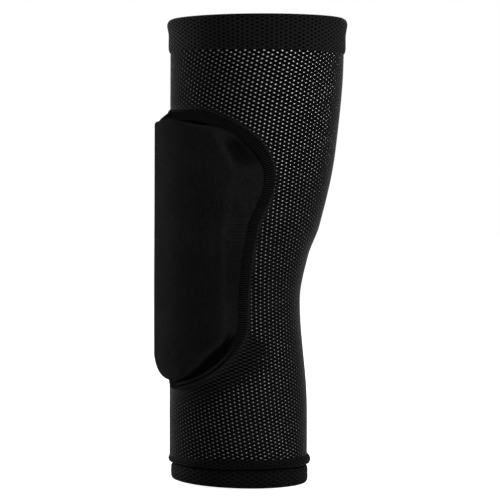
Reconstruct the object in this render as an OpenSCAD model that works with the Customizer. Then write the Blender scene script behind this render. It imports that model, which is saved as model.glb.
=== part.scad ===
// Pull-on elbow protector: a mesh knit sleeve with a foam pad sewn over the back of the elbow.
// The sleeve stands on its lower edge, and +Z points up the arm. The pad faces -Y and the crook of the arm +Y.
// Angles round the sleeve count from the middle of the pad, positive towards +X. Lengths are in millimetres.

/* [Sleeve] */
// Length of the sleeve from edge to edge
sleeve_length = 270; // [255:1:295]
// Thickness of the mesh knit
knit_t = 1.2; // [0.8:0.1:1.5]
// Outside diameter of the knit at the upper hem line
arm_d = 101.4; // [97:0.2:108]
// Outside diameter of the knit at the lower hem line
forearm_d = 79.8; // [76:0.2:84]
// How much wider than the lower hem line the sleeve is where the forearm is fullest
forearm_swell = 3.2; // [1:0.2:6]
// How much deeper than the lower hem line the sleeve is where the forearm is fullest
forearm_fill = 0.2; // [0:0.1:3]
// Height of the fullest part of the forearm above the lower edge
forearm_height = 45; // [35:1:55]
// Side-to-side width at the crook of the arm, where the sleeve is shallowest
crook_w = 86; // [80:0.5:92]
// Front-to-back depth at the crook of the arm
crook_depth = 75.4; // [71:0.2:80]
// How far the crook lies below the elbow axis
crook_drop = 21; // [15:1:30]
// Side-to-side width where the sleeve widens fastest
flare_w = 92; // [87:0.5:97]
// Front-to-back depth where the sleeve widens fastest
flare_depth = 87.2; // [83:0.2:92]
// How far that place lies above the elbow axis
flare_rise = 22; // [15:1:30]
// How much narrower than the upper hem line the sleeve is at the biceps
biceps_taper = 3.4; // [1:0.2:7]
// How much shallower than the upper hem line the sleeve is at the biceps
biceps_flat = 4.4; // [2:0.2:8]
// How far the biceps lies above the elbow axis
biceps_rise = 67; // [55:1:75]

/* [Elbow] */
// Height of the elbow axis above the lower edge
elbow_height = 128; // [122:1:136]
// Length of knit that bends with the elbow
bend_length = 120; // [110:1:128]

/* [Upper cuff] */
// Height of the folded upper hem
upper_cuff_h = 20; // [17:0.5:26]
// How far the doubled hem stands out from the knit below it
cuff_step = 1; // [0.6:0.1:1.6]
// How far the upper edge flares out
lip_out = 1.2; // [0.6:0.1:2]
// Depth of the rounded upper edge
lip_h = 4.5; // [3.5:0.1:5.5]
// Height over which the hem steps out from the knit below it
hem_slope = 2; // [1.2:0.1:3]
// How far the inner layer of each hem stops short of the hem line
tuck = 1; // [0.6:0.1:1.6]

/* [Lower cuff] */
// Height of the folded lower hem with its ridge
lower_cuff_h = 14.5; // [13:0.5:18]
// How far the hem band stands out from the knit above it
band_step = 0.6; // [0.4:0.1:1]
// Height of the rolled ridge along the top of the hem
ridge_h = 5; // [4:0.1:6]
// How far the ridge stands out
ridge_out = 1.8; // [1:0.1:2.4]
// Height of the rounding at the lower edge
foot_round = 1; // [0.8:0.1:2]

/* [Elastic] */
// Thickness of the elastic inside each hem
elastic_t = 1; // [0.6:0.1:1.4]
// Width of the elastic in the upper hem
upper_elastic_w = 11; // [8:0.5:12]
// Width of the elastic in the lower hem
lower_elastic_w = 5; // [3.5:0.5:5.5]

/* [Pad outline] */
// How far the top of the seam lies above the elbow axis
pad_rise = 88; // [80:1:92]
// How far the bottom of the seam lies below the elbow axis
pad_drop = 71; // [64:1:78]
// Angle from the middle to the seam at the widest part
shoulder_angle = 84.5; // [78:0.5:90]
// Angle from the middle to the seam beside the elbow
waist_angle = 76.5; // [70:0.5:82]
// How far the widest part lies above the elbow axis
shoulder_rise = 46; // [40:1:52]
// How far the seam has drawn in above the elbow axis
waist_rise = 20; // [14:1:26]
// How far below the elbow axis the seam starts to close
heel_drop = 31; // [25:1:37]
// Width of the sewn seam
seam_w = 5.2; // [3.5:0.1:6]
// Height of the sewn seam
seam_h = 1.6; // [1:0.1:2.2]

/* [Pad core and cover] */
// Thickness of the foam
core_t = 7.6; // [5:0.1:10]
// Angle from the middle to the edge of the foam
core_angle = 60; // [54:0.5:64]
// How far the foam's top edge lies below the seam
core_top_in = 8; // [7.5:0.5:14]
// How far the foam's bottom edge lies above the seam
core_bottom_in = 8; // [7.5:0.5:14]
// How far below its top edge the foam reaches its full width
core_shoulder_in = 26; // [20:1:30]
// How far above its bottom edge the foam reaches its full width
core_heel_in = 27; // [22:1:34]
// Rounding of the foam's outer edges
core_round = 2.5; // [1.5:0.1:3.5]
// How far the flex gap between the two lobes lies above the elbow axis
flex_rise = 20; // [14:1:28]
// Width of the flex gap
flex_gap = 4; // [2:0.5:6]
// Rounding of the corners beside the flex gap
lobe_corner = 10; // [6:1:14]
// Thickness of the jersey cover
cover_t = 0.9; // [0.6:0.1:1.2]
// Width of the cover's rounding along the foam's edge
crest_w = 3.4; // [2.6:0.1:4.2]
// Height of the cover's rounding along the foam's edge
crest_h = 0.9; // [0.6:0.1:1.2]

/* [Fit] */
// Gap between layers that lie on each other
fit = 0.3; // [0.2:0.05:0.5]
// Gap between the sleeve, the foam and the cover
sew_gap = 0.5; // [0.4:0.05:0.8]

/* [Hidden] */
$fn = 96;

knit_colour = [0.10, 0.10, 0.11];
cuff_colour = [0.07, 0.07, 0.08];
elastic_colour = [0.20, 0.20, 0.21];
foam_colour = [0.32, 0.32, 0.34];
cover_colour = [0.13, 0.13, 0.14];
seam_colour = [0.17, 0.17, 0.18];

knit_sides = 60;
knit_ring_step = 9;
quarter_points = 12;
side_points = 6;
seam_sides = 8;
fold_points = 10;

// Fullness of the rounded ends of an outline: 2 is an ellipse and more is squarer
seam_top_power = 2.1;
seam_bottom_power = 1.8;
core_top_power = 3.1;
core_bottom_power = 1.9;
lobe_power = 6;

// Rings across a lobe's face, the cover's face and its flank, as shares of the way out
lobe_rings = [0.17, 0.34, 0.51, 0.68, 0.85];
face_rings = [0.17, 0.34, 0.51, 0.68, 0.85];
flank_rings = [0.4, 0.75];
// Share of the edge rounding that its middle ring takes
round_share = 0.3;

// Heights
upper_hem_z = sleeve_length - upper_cuff_h;
bend_low_z = elbow_height - bend_length / 2;
bend_high_z = elbow_height + bend_length / 2;
flex_z = elbow_height + flex_rise;
pad_top_z = elbow_height + pad_rise;
pad_bottom_z = elbow_height - pad_drop;
shoulder_z = elbow_height + shoulder_rise;
waist_z = elbow_height + waist_rise;
heel_z = elbow_height - heel_drop;

// The back of the sleeve is straight, so every section touches this plane behind the axis
back_y = forearm_d / 2;
arm_y = arm_d / 2 - back_y;

// Sections of the sleeve: height, side-to-side width, front-to-back depth
SECTIONS = [
    [lower_cuff_h, forearm_d, forearm_d],
    [forearm_height, forearm_d + forearm_swell, forearm_d + forearm_fill],
    [elbow_height - crook_drop, crook_w, crook_depth],
    [elbow_height + flare_rise, flare_w, flare_depth],
    [elbow_height + biceps_rise, arm_d - biceps_taper, arm_d - biceps_flat],
    [upper_hem_z, arm_d, arm_d]];
last_section = len(SECTIONS) - 1;

// Slopes that keep a smooth curve through the sections from overshooting
function section_rate(i, c) = (SECTIONS[i + 1][c] - SECTIONS[i][c]) / (SECTIONS[i + 1][0] - SECTIONS[i][0]);
function section_slope(i, c) =
    i == 0 || i == last_section ? 0 :
    let (below = section_rate(i - 1, c), above = section_rate(i, c))
    below * above <= 0 ? 0 : 2 * below * above / (below + above);
function section_index(z) = max([0, for (i = [0 : last_section - 1]) if (SECTIONS[i][0] <= z) i]);
function section_at(z, c) =
    let (i = section_index(z), h = SECTIONS[i + 1][0] - SECTIONS[i][0], t = (z - SECTIONS[i][0]) / h)
    SECTIONS[i][c] * (1 + 2 * t) * pow(1 - t, 2) + SECTIONS[i + 1][c] * t * t * (3 - 2 * t)
    + h * (section_slope(i, c) * t * pow(1 - t, 2) - section_slope(i + 1, c) * t * t * (1 - t));

// A point at an angle and a height, a given distance off the outside of the knit
function on_sleeve(angle, z, off) =
    let (a = section_at(z, 1) / 2, b = section_at(z, 2) / 2,
         across = sin(angle) / a, along = -cos(angle) / b, n = norm([across, along]))
    [a * sin(angle) + off * across / n, b - back_y - b * cos(angle) + off * along / n, z];

// Outlines are closed lists of [angle, height], clockwise as seen from outside, starting at the top
function smooth(t) = let (u = min(1, max(0, t))) u * u * (3 - 2 * u);
function bow(t, power) = pow(max(0, 1 - pow(t, power)), 1 / power);
function half_outline(top, shoulder, waist, heel, bottom, high_angle, low_angle, power_high, power_low) = [
    for (i = [0 : quarter_points - 1]) let (t = sin(90 * i / quarter_points))
        [high_angle * t, shoulder + (top - shoulder) * bow(t, power_high)],
    for (i = [0 : side_points]) let (z = shoulder + (heel - shoulder) * i / side_points)
        [low_angle + (high_angle - low_angle) * smooth((z - waist) / (shoulder - waist)), z],
    for (i = [quarter_points - 1 : -1 : 0]) let (t = sin(90 * i / quarter_points))
        [low_angle * t, heel - (heel - bottom) * bow(t, power_low)]];
function both_halves(half) = concat(half,
    [for (i = [len(half) - 2 : -1 : 1]) [-half[i][0], half[i][1]]]);

function mm_per_degree(z) = (section_at(z, 1) + section_at(z, 2)) / 4 * PI / 180;
// The outline moved inwards by a distance along the surface
function inset(outline, d) = let (n = len(outline)) [
    for (k = [0 : n - 1])
        let (p = outline[k], before = outline[(k + n - 1) % n], after = outline[(k + 1) % n],
             r = mm_per_degree(p[1]),
             run = [(after[0] - before[0]) * r, after[1] - before[1]], u = run / norm(run))
        [p[0] + u[1] * d / r, p[1] - u[0] * d]];
function middle_z(outline) = (max([for (p = outline) p[1]]) + min([for (p = outline) p[1]])) / 2;
function shrunk(outline, f) =
    let (zc = middle_z(outline)) [for (p = outline) [p[0] * f, zc + (p[1] - zc) * f]];
function between(a, b, f) = [for (k = [0 : len(a) - 1]) a[k] + (b[k] - a[k]) * f];
function laid(outline, off) = [for (p = outline) on_sleeve(p[0], p[1], off)];

// A closed skin over rings of equal count, joined end to end or closed by a fan to a tip at each end
module skin(rings, tips = []) {
    joined = len(tips) == 0;
    count = len(rings);
    m = len(rings[0]);
    bands = joined ? count : count - 1;
    first = count * m;
    points = concat([for (ring = rings) each ring], tips);
    walls = [for (i = [0 : bands - 1], j = [0 : m - 1])
        let (k = (j + 1) % m, next = ((i + 1) % count) * m,
             a = i * m + j, b = i * m + k, c = next + k, d = next + j)
        each [[a, c, b], [a, d, c]]];
    caps = joined ? [] : [for (j = [0 : m - 1])
        let (k = (j + 1) % m, last = (count - 1) * m)
        each [[first, j, k], [first + 1, last + k, last + j]]];
    polyhedron(points, concat(walls, caps));
}

// A length of the knit tube between two heights
module knit_zone(low, high) {
    steps = ceil((high - low) / knit_ring_step);
    heights = [for (i = [0 : steps]) low + (high - low) * i / steps];
    angles = [for (j = [0 : knit_sides - 1]) 360 * j / knit_sides];
    skin(concat(
        [for (z = heights) [for (a = angles) on_sleeve(a, z, 0)]],
        [for (i = [steps : -1 : 0]) [for (a = angles) on_sleeve(a, heights[i], -knit_t)]]));
}

module upper_sleeve() {
    color(knit_colour) knit_zone(bend_high_z, upper_hem_z);
}

module elbow_sleeve() {
    color(knit_colour) knit_zone(bend_low_z + fit, bend_high_z - fit);
}

module lower_sleeve() {
    color(knit_colour) knit_zone(lower_cuff_h, bend_low_z);
}

// Each hem is the knit folded inwards over an elastic
pocket = elastic_t + 2 * fit;
hem_t = 2 * knit_t + pocket;
upper_outer_r = arm_d / 2 + cuff_step;
upper_bore_r = upper_outer_r - hem_t;
lower_outer_r = forearm_d / 2 + band_step;
lower_bore_r = lower_outer_r - hem_t;

module upper_cuff() {
    lip_r = (hem_t + lip_out) / 2;
    lip_z = sleeve_length - lip_h;
    profile = concat(
        [[arm_d / 2, upper_hem_z], [upper_outer_r, upper_hem_z + hem_slope], [upper_outer_r, lip_z - lip_h]],
        [for (i = [0 : fold_points]) let (q = 180 * i / fold_points)
            [upper_bore_r + lip_r * (1 + cos(q)), lip_z + lip_h * sin(q)]],
        [[upper_bore_r, upper_hem_z + tuck], [upper_bore_r + knit_t, upper_hem_z + tuck],
         [upper_bore_r + knit_t, lip_z], [upper_outer_r - knit_t, lip_z],
         [upper_outer_r - knit_t, upper_hem_z + hem_slope], [arm_d / 2 - knit_t, upper_hem_z]]);
    color(cuff_colour) translate([0, arm_y, 0]) rotate_extrude() polygon(profile);
}

// A flat elastic band in the pocket of a hem
module elastic_ring(bore_r, low, width) {
    inner = bore_r + knit_t + fit;
    color(elastic_colour) rotate_extrude() translate([inner, low]) square([elastic_t, width]);
}

module upper_cuff_elastic() {
    translate([0, arm_y, 0])
        elastic_ring(upper_bore_r, sleeve_length - lip_h - fit - upper_elastic_w, upper_elastic_w);
}

ridge_low_z = lower_cuff_h - ridge_h;
pocket_floor_z = foot_round + fit;

module lower_cuff() {
    profile = concat(
        [for (i = [0 : fold_points]) let (q = 180 * i / fold_points)
            [forearm_d / 2 + ridge_out * sin(q), lower_cuff_h - ridge_h * (1 - cos(q)) / 2]],
        [[lower_outer_r, ridge_low_z - tuck]],
        [for (i = [0 : fold_points / 2]) let (q = 180 * i / fold_points)
            [lower_outer_r - foot_round * (1 - cos(q)) * 2 / 3, foot_round * (1 - sin(q))]],
        [for (i = [0 : fold_points / 2]) let (q = 180 * i / fold_points)
            [lower_bore_r + foot_round * (1 - sin(q)) / 2, foot_round * (1 - cos(q))]],
        [[lower_bore_r, lower_cuff_h - tuck], [lower_bore_r + knit_t, lower_cuff_h - tuck],
         [lower_bore_r + knit_t, pocket_floor_z], [lower_outer_r - knit_t, pocket_floor_z],
         [lower_outer_r - knit_t, ridge_low_z - tuck], [forearm_d / 2 - knit_t, ridge_low_z],
         [forearm_d / 2 - knit_t, lower_cuff_h]]);
    color(cuff_colour) rotate_extrude() polygon(profile);
}

module lower_cuff_elastic() {
    elastic_ring(lower_bore_r, pocket_floor_z + fit, lower_elastic_w);
}

// The seam follows the pad's outline, and the cover ends just inside it
seam_outline = both_halves(half_outline(pad_top_z, shoulder_z, waist_z, heel_z, pad_bottom_z,
                                        shoulder_angle, waist_angle, seam_top_power, seam_bottom_power));
core_top_z = pad_top_z - core_top_in;
core_bottom_z = pad_bottom_z + core_bottom_in;
core_shoulder_z = core_top_z - core_shoulder_in;
core_heel_z = core_bottom_z + core_heel_in;
core_outline = both_halves(half_outline(core_top_z, core_shoulder_z, waist_z, core_heel_z, core_bottom_z,
                                        core_angle, core_angle, core_top_power, core_bottom_power));
core_top_off = sew_gap + core_t;
cover_top_off = core_top_off + sew_gap + cover_t;

// One lobe of the foam: flat against the sleeve, with rounded outer edges
module foam_lobe(outline) {
    top_edge = inset(outline, core_round);
    color(foam_colour) skin(concat(
        [for (f = lobe_rings) laid(shrunk(top_edge, f), core_top_off)],
        [laid(top_edge, core_top_off),
         laid(inset(outline, round_share * core_round), core_top_off - round_share * core_round),
         laid(outline, core_top_off - core_round),
         laid(outline, sew_gap), laid(top_edge, sew_gap)],
        [for (i = [len(lobe_rings) - 1 : -1 : 0]) laid(shrunk(top_edge, lobe_rings[i]), sew_gap)]),
        [on_sleeve(0, middle_z(top_edge), core_top_off), on_sleeve(0, middle_z(top_edge), sew_gap)]);
}

module pad_core_upper() {
    low = flex_z + flex_gap / 2;
    foam_lobe(both_halves(half_outline(core_top_z, core_shoulder_z, low, low + lobe_corner, low,
                                       core_angle, core_angle, core_top_power, lobe_power)));
}

module pad_core_elbow() {
    high = flex_z - flex_gap / 2;
    foam_lobe(both_halves(half_outline(high, high - lobe_corner, core_heel_z, core_heel_z, core_bottom_z,
                                       core_angle, core_angle, lobe_power, core_bottom_power)));
}

// The jersey is drawn tight from the seam up to the foam's edge and lies flat over its face
module pad_cover() {
    rim = inset(seam_outline, seam_w / 2 + fit);
    crest = inset(core_outline, -(sew_gap + cover_t));
    face = inset(crest, crest_w);
    crest_off = cover_top_off - crest_h;
    rim_off = sew_gap + cover_t;
    layer = function (drop) concat(
        [for (f = face_rings) laid(shrunk(face, f), cover_top_off - drop)],
        [laid(face, cover_top_off - drop), laid(crest, crest_off - drop)],
        [for (f = flank_rings) laid(between(crest, rim, f), crest_off * (1 - f) + rim_off * f - drop)],
        [laid(rim, rim_off - drop)]);
    outer = layer(0);
    inner = layer(cover_t);
    color(cover_colour) skin(concat(outer, [for (i = [len(inner) - 1 : -1 : 0]) inner[i]]),
        [for (drop = [0, cover_t]) on_sleeve(0, middle_z(face), cover_top_off - drop)]);
}

module pad_edge_seam() {
    color(seam_colour) skin([for (i = [0 : seam_sides - 1]) let (q = 360 * i / seam_sides)
        laid(inset(seam_outline, seam_w / 2 * cos(q)), sew_gap + seam_h / 2 * (1 + sin(q)))]);
}

upper_sleeve();
elbow_sleeve();
lower_sleeve();
upper_cuff();
upper_cuff_elastic();
lower_cuff();
lower_cuff_elastic();
pad_core_upper();
pad_core_elbow();
pad_cover();
pad_edge_seam();
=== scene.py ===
import math

import bpy
import numpy as np
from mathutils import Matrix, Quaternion, Vector


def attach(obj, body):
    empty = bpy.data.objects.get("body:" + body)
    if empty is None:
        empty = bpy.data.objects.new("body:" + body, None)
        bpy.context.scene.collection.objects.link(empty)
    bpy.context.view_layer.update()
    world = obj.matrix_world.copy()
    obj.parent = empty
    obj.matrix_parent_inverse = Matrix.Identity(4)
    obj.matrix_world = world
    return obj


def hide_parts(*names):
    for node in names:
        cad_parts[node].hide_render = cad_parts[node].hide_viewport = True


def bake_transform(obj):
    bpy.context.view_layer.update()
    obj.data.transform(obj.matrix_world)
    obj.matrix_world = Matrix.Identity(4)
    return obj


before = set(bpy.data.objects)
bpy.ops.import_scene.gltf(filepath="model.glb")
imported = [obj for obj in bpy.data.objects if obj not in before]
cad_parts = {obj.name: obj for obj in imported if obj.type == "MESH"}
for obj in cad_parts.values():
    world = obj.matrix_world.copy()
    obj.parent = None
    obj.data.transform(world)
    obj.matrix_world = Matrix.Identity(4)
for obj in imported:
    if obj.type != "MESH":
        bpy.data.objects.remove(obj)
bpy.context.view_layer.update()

scene = bpy.context.scene

# An elbow pad, upright: z is up, the pad faces -y and the crook of the arm +y.
# Lengths are in millimetres until a mesh is made. A place on the sleeve is an angle round it, from the pad's
# middle, and a height. A pair such as (88, -20) says where a change starts and over how much it happens.
MM = 0.001
TINY = 1e-9

# Sleeve: height, side-to-side width and front-to-back depth of its sections
SECTIONS = np.array([
    (14.5, 79.8, 81), (45, 83, 80.6), (107, 86, 75.4), (132, 89.2, 80.1),
    (150, 92, 87.2), (195, 98, 97), (250, 101.4, 101.4)])
BACK_Y = 39.9
KNIT_T = 1.2
LOWER_HEM_Z, UPPER_HEM_Z = 14.5, 250.0
BEND_LOW_Z, BEND_HIGH_Z = 68.0, 188.0
HALF_POINTS = 241


# Measures on the sleeve
def grow(value, start, width):
    """0 up to the start, growing gently to 1 over the width. A negative width counts downwards."""
    u = np.clip((value - start) / width, 0, 1)
    return u * u * (3 - 2 * u)


def part_way(start, end, share):
    return start + (end - start) * share


def between(value, opening, closing):
    """1 between two changes, and 0 before the first and after the second."""
    return grow(value, *opening) * (1 - grow(value, *closing))


def section(z):
    """Width and depth of the sleeve at heights z."""
    x = SECTIONS[:, 0]
    z = np.clip(z, x[0], x[-1])
    i = np.clip(np.searchsorted(x, z, side="right") - 1, 0, len(x) - 2)
    h = x[i + 1] - x[i]
    t = (z - x[i]) / h
    sizes = []
    for c in (1, 2):
        y = SECTIONS[:, c]
        rate = np.diff(y) / np.diff(x)
        slope = np.zeros(len(x))
        for k in range(1, len(x) - 1):
            if rate[k - 1] * rate[k] > 0:
                slope[k] = 2 * rate[k - 1] * rate[k] / (rate[k - 1] + rate[k])
        sizes.append(y[i] * (1 + 2 * t) * (1 - t) ** 2 + y[i + 1] * t * t * (3 - 2 * t)
                     + h * (slope[i] * t * (1 - t) ** 2 - slope[i + 1] * t * t * (1 - t)))
    return sizes


def on_sleeve(angle, z, off):
    """Points at an angle in radians and a height, a distance off the knit."""
    angle, z, off = np.broadcast_arrays(*[np.asarray(v, float) for v in (angle, z, off)])
    width, depth = section(z)
    a, b = width / 2, depth / 2
    across, along = np.sin(angle) / a, -np.cos(angle) / b
    n = np.hypot(across, along)
    return np.stack([a * np.sin(angle) + off * across / n,
                     b - BACK_Y - b * np.cos(angle) + off * along / n, z], -1)


def laid(line, off):
    """Points of a line of angles in degrees and heights, a distance off the knit."""
    return on_sleeve(np.radians(line[..., 0]), line[..., 1], off)


def travelled(p):
    """Distance along a line of points to each of them."""
    return np.concatenate([[0], np.cumsum(np.linalg.norm(np.diff(p, axis=0), axis=1))])


def spaced(line, length, count):
    """Points at even lengths along a closed line that repeats its first point."""
    at = np.linspace(0, length[-1], count, endpoint=False)
    return np.stack([np.interp(at, length, values) for values in line.T], 1)


def half_round(z):
    """Angles from the pad's middle to the crook, and the distance round to each, at one height."""
    angles = np.linspace(0, math.pi, HALF_POINTS)
    return angles, travelled(on_sleeve(angles, z, 0))


def degree_mm(z):
    """Mean distance round the sleeve of one degree, at heights z."""
    width, depth = section(z)
    return (width + depth) / 4 * math.pi / 180


def unit(v):
    return v / np.linalg.norm(v, axis=-1, keepdims=True)


def inset(line, d):
    """A closed line of angles and heights, moved inwards along the surface."""
    r = degree_mm(line[:, 1])
    run = np.roll(line, -1, 0) - np.roll(line, 1, 0)
    run[:, 0] *= r
    run = unit(run)
    return np.stack([line[:, 0] + run[:, 1] * d / r, line[:, 1] - run[:, 0] * d], 1)


def outside(line, angle, z):
    """Distance of places outside a closed line, negative inside it."""
    px, pz = np.degrees(angle) * degree_mm(z), z
    ax, az = line[:, 0] * degree_mm(line[:, 1]), line[:, 1]
    bx, bz = np.roll(ax, -1), np.roll(az, -1)
    best = np.full(px.shape, np.inf)
    inside = np.zeros(px.shape, bool)
    for k in range(len(ax)):
        dx, dz = bx[k] - ax[k], bz[k] - az[k]
        t = np.clip(((px - ax[k]) * dx + (pz - az[k]) * dz) / max(dx * dx + dz * dz, TINY), 0, 1)
        best = np.minimum(best, np.hypot(px - ax[k] - t * dx, pz - az[k] - t * dz))
        if dz:
            inside ^= ((az[k] > pz) != (bz[k] > pz)) & (px < ax[k] + dx * (pz - az[k]) / dz)
    return np.where(inside, -best, best)


CURVE_STEPS, CURVE_PITCH = 24, 1.1


def closed_curve(corners):
    """An even count of points, about a pitch apart, on a smooth closed curve through the corners."""
    p = np.array(corners, float)
    n = len(p)
    fine = []
    for i in range(n):
        a, b, c, d = p[i - 1], p[i], p[(i + 1) % n], p[(i + 2) % n]
        for t in np.linspace(0, 1, CURVE_STEPS, endpoint=False):
            fine.append(0.5 * (2 * b + (c - a) * t + (2 * a - 5 * b + 4 * c - d) * t * t
                               + (3 * b - a - 3 * c + d) * t ** 3))
    fine = np.array(fine + fine[:1])
    length = travelled(fine)
    return spaced(fine, length, 2 * round(length[-1] / CURVE_PITCH / 2))


def mirrored(half):
    """A closed line from one half that starts and ends in the pad's middle."""
    return np.concatenate([half, half[-2:0:-1] * (-1, 1)])


# Line of the sewn seam round the pad
PAD_TOP_Z, PAD_BOTTOM_Z = 216.0, 57.8
SHOULDER_Z, WAIST_Z, HEEL_Z = 174.0, 148.0, 97.0
SHOULDER_A, WAIST_A = 84.5, 76.5
TOP_POWER, BOTTOM_POWER = 2.1, 1.8
QUARTER, SIDE_POINTS = 60, 96
TOP_Z = 200
TOP_DIP, DIP_REACH = 2.2, (12, 28)


def along_top(line, reach):
    """1 at the middle of a line's top, falling to 0 towards the shoulders, and 0 below the top."""
    return (line[:, 1] > TOP_Z) * (1 - grow(np.abs(line[:, 0]), *reach))


def seam_line():
    """Angles in degrees and heights, clockwise from the top as seen from outside."""
    t = np.sin(np.radians(90 * np.arange(QUARTER) / QUARTER))
    top = (1 - t ** TOP_POWER) ** (1 / TOP_POWER)
    bottom = (1 - t ** BOTTOM_POWER) ** (1 / BOTTOM_POWER)
    upper = np.stack([SHOULDER_A * t, part_way(SHOULDER_Z, PAD_TOP_Z, top)], 1)
    z = np.linspace(SHOULDER_Z, HEEL_Z, SIDE_POINTS + 1)
    wider = grow(z, WAIST_Z, SHOULDER_Z - WAIST_Z)
    flank = np.stack([part_way(WAIST_A, SHOULDER_A, wider), z], 1)
    lower = np.stack([WAIST_A * t, part_way(HEEL_Z, PAD_BOTTOM_Z, bottom)], 1)[::-1]
    line = mirrored(np.concatenate([upper, flank, lower]))
    line[:, 1] -= TOP_DIP * along_top(line, DIP_REACH)
    return line


SEAM = seam_line()

# Edge of the padded block under the cover: angles and heights from its top, down one side, to its bottom
BLOCK_EDGE = np.array([
    (0, 210.8), (16, 210.6), (24, 209.1), (31, 207.4), (38, 206.4), (46, 205.4), (51, 202.4), (56, 193),
    (62.3, 182), (62.2, 175), (61, 164), (60.4, 146), (62.8, 124), (64.8, 101), (64.8, 94.5),
    (63.2, 88.4), (60.4, 84.4), (55.6, 81.3), (50.2, 77.9), (44, 73.1), (37.5, 69.3), (27.5, 64.5),
    (13, 60.7), (0, 59.9)])
# Rough distance of one degree, in which outlines of the pad are measured
EDGE_MM = 0.8
BLOCK = closed_curve(mirrored(BLOCK_EDGE) * (EDGE_MM, 1)) / (EDGE_MM, 1)

# How far in and how deep the block's edge rounds off at each height, and at the middle of its lower end
COVER_OFF = 9.1
ROUND_Z, ROUND_W, ROUND_H = (82, 112, 180, 200), (2.2, 2.4, 2.4, 2.2), (3.0, 2.0, 2.0, 3.4)
NOSE_W, NOSE_H = 14.5, 8.4
NOSE_Z, NOSE_ANGLE = (100, -30), (12, 26)


def block_height(places):
    """Stand-off of the padded block at places, and how deep inside its edge they lie."""
    angle, z = places[..., 0], places[..., 1]
    deep = -outside(BLOCK, np.radians(angle), z)
    nose = grow(z, *NOSE_Z) * (1 - grow(np.abs(angle), *NOSE_ANGLE))
    wide = np.interp(z, ROUND_Z, ROUND_W) * (1 - nose) + NOSE_W * nose
    tall = np.interp(z, ROUND_Z, ROUND_H) * (1 - nose) + NOSE_H * nose
    edge = np.clip(1 - deep / wide, 0, 1)
    return COVER_OFF - tall * (1 - np.sqrt(1 - edge ** 2)), deep


# Mesh building
def add(name, data):
    obj = bpy.data.objects.new(name, data)
    scene.collection.objects.link(obj)
    return obj


def make(name, points, groups, materials, uv=None):
    """A piece from points in mm, groups of (faces, material index, smooth), and maps by name."""
    groups = [(np.asarray(f, np.int64), m, s) for f, m, s in groups if len(f)]
    loops = np.concatenate([f.ravel() for f, _, _ in groups])
    totals = np.concatenate([np.full(len(f), f.shape[1]) for f, _, _ in groups])
    slots = np.concatenate([np.full(len(f), m, np.int32) for f, m, _ in groups])
    mesh = bpy.data.meshes.new(name)
    mesh.vertices.add(len(points))
    mesh.vertices.foreach_set("co", (points * MM).astype(np.float32).ravel())
    mesh.loops.add(len(loops))
    mesh.loops.foreach_set("vertex_index", loops.astype(np.int32))
    mesh.polygons.add(len(totals))
    mesh.polygons.foreach_set("loop_start", np.concatenate([[0], np.cumsum(totals)[:-1]]).astype(np.int32))
    mesh.polygons.foreach_set("loop_total", totals.astype(np.int32))
    mesh.polygons.foreach_set("material_index", slots)
    mesh.update(calc_edges=True)
    mesh.polygons.foreach_set("use_smooth", np.concatenate([np.full(len(f), s) for f, _, s in groups]))
    for layer_name, per_point in (uv or {}).items():
        layer = mesh.uv_layers.new(name=layer_name, do_init=False)
        layer.uv.foreach_set("vector", per_point[loops].astype(np.float32).ravel())
    for m in materials:
        mesh.materials.append(m)
    mesh.validate()
    return add(name, mesh)


def one_axis(values):
    """A map that holds one value per point."""
    values = np.ravel(values)
    return np.stack([values, 0 * values], -1)


def ring_faces(rings, count, joined=False):
    """Quads over closed rings of one count, the last joined to the first if asked."""
    bands = rings if joined else rings - 1
    i, j = np.meshgrid(np.arange(bands), np.arange(count), indexing="ij")
    k, nxt = (j + 1) % count, (i + 1) % rings
    return np.stack([i * count + j, i * count + k, nxt * count + k, nxt * count + j], -1).reshape(-1, 4)


def full_turn(count):
    return np.linspace(0, 2 * math.pi, count, endpoint=False)


def turned(radius, z, angle, centre_y):
    """Points round an upright axis."""
    return np.stack([radius * np.sin(angle), centre_y - radius * np.cos(angle), z + 0 * angle], -1)


def quarters(grid):
    """A grid's values at the lower left, lower right, upper left and upper right of each cell."""
    return grid[:-1, :-1], grid[:-1, 1:], grid[1:, :-1], grid[1:, 1:]


def cell_faces(ids, kept):
    """Triangles and quads over the kept cells of a grid of ids. Sides of a cell may be one point."""
    bl, br, tl, tr = quarters(ids)
    low_gone, high_gone = bl == br, tl == tr
    whole, low, high = kept & ~low_gone & ~high_gone, low_gone & ~high_gone, high_gone & ~low_gone
    return (np.concatenate([np.stack([bl[low], tr[low], tl[low]], -1),
                            np.stack([bl[high], br[high], tl[high]], -1)]),
            np.stack([bl[whole], br[whole], tr[whole], tl[whole]], -1))


HOLE_W, HOLE_H = 0.6, 0.4
HOLE_DENT, HOLE_DEPTH = 0.24, 0.6
FLOOR_SHARE, SLIT_POWER = 0.88, 0.6


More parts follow.
